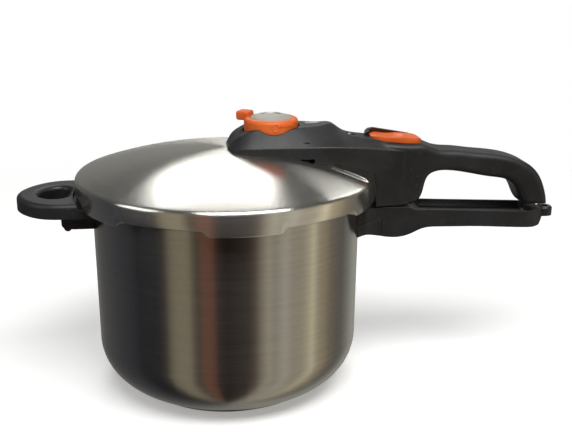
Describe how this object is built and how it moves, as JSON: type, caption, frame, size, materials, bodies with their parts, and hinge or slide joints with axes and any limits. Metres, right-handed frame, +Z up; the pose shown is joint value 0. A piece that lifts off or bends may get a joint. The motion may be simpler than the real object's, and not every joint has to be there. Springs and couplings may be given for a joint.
{
  "type": "pressure cooker",
  "caption": "Stovetop pressure cooker with a bayonet lid, long two-part handle, small loop handle and a settable pressure regulator.",
  "frame": {"origin": "middle of the base's flat underside, on the axis of the pot", "axes": "+Z up out of the pot, +X along the long handles, away from the pot; X is the longest extent and the helper handle points along -X"},
  "size_m": [0.4624, 0.25, 0.2323],
  "materials": {
    "pot_steel": "brushed stainless steel with upright reflections",
    "base_steel": "brushed stainless steel cup under the base",
    "core_aluminium": "plain pressed aluminium",
    "lid_steel": "stainless steel brushed in circles",
    "bracket_steel": "plain stainless steel",
    "screw_steel": "bright screw steel",
    "valve_steel": "turned stainless steel",
    "ball_steel": "polished steel",
    "spring_steel": "bright spring wire",
    "bolt_steel": "stamped stainless strip",
    "cap_steel": "satin grey metal",
    "weight_brass": "turned brass",
    "black_phenolic": "black phenolic plastic with a soft sheen",
    "guard_plastic": "dark brown glossy plastic",
    "eye_plastic": "black plastic",
    "orange_plastic": "orange plastic",
    "gasket_rubber": "pale grey silicone rubber",
    "washer_rubber": "black rubber"
  },
  "bodies": {
    "pot": {"pot_body": "pot_steel", "base_core": "core_aluminium", "base_cover": "base_steel", "long_handle": "black_phenolic", "long_handle_bracket": "bracket_steel", "long_handle_screws": "screw_steel", "screw_cover": "black_phenolic", "hanging_eye": "eye_plastic", "helper_handle": "black_phenolic", "helper_bracket": "bracket_steel", "helper_screw": "screw_steel"},
    "lid": {"lid_shell": "lid_steel", "lid_gasket": "gasket_rubber", "lid_handle": "black_phenolic", "lid_handle_screws": "screw_steel", "slider_guard": "guard_plastic", "vent_pipe": "valve_steel", "vent_washer": "washer_rubber", "vent_nut": "valve_steel", "vent_filter": "valve_steel", "safety_valve_body": "valve_steel", "safety_spring": "spring_steel", "safety_plug": "valve_steel", "safety_nut": "valve_steel"},
    "regulator": {"regulator_ring": "orange_plastic", "regulator_cap": "cap_steel", "regulator_spring": "spring_steel"},
    "valve_weight": {"regulator_weight": "weight_brass"},
    "safety_ball": {"safety_ball": "ball_steel"},
    "slider": {"lock_slider": "orange_plastic", "lock_bolt": "bolt_steel"},
    "indicator": {"indicator_pin": "valve_steel", "indicator_seal": "washer_rubber"}
  },
  "joints": [
    {"name": "lid_turn", "type": "hinge", "parent": "pot", "child": "lid", "pos_m": [0, 0, 0.18], "axis": [0, 0, 1], "range_deg": [0, 30]},
    {"name": "regulator_turn", "type": "hinge", "parent": "lid", "child": "regulator", "pos_m": [0.0375, 0, 0.22], "axis": [0, 0, 1], "range_deg": [-30, 90]},
    {"name": "valve_lift", "type": "slide", "parent": "regulator", "child": "valve_weight", "axis": [0, 0, 1], "range_m": [0, 0.0015], "stiffness_N_per_m": 800, "springref_m": -0.001, "deforming": ["regulator_spring"]},
    {"name": "safety_lift", "type": "slide", "parent": "lid", "child": "safety_ball", "axis": [0, 0, 1], "range_m": [0, 0.0015], "stiffness_N_per_m": 400, "springref_m": -0.001, "deforming": ["safety_spring"]},
    {"name": "lock_slide", "type": "slide", "parent": "lid", "child": "slider", "axis": [0.9968, 0, -0.0801], "range_m": [0, 0.008]},
    {"name": "indicator_rise", "type": "slide", "parent": "lid", "child": "indicator", "axis": [0, 0, 1], "range_m": [0, 0.0035]}
  ]
}
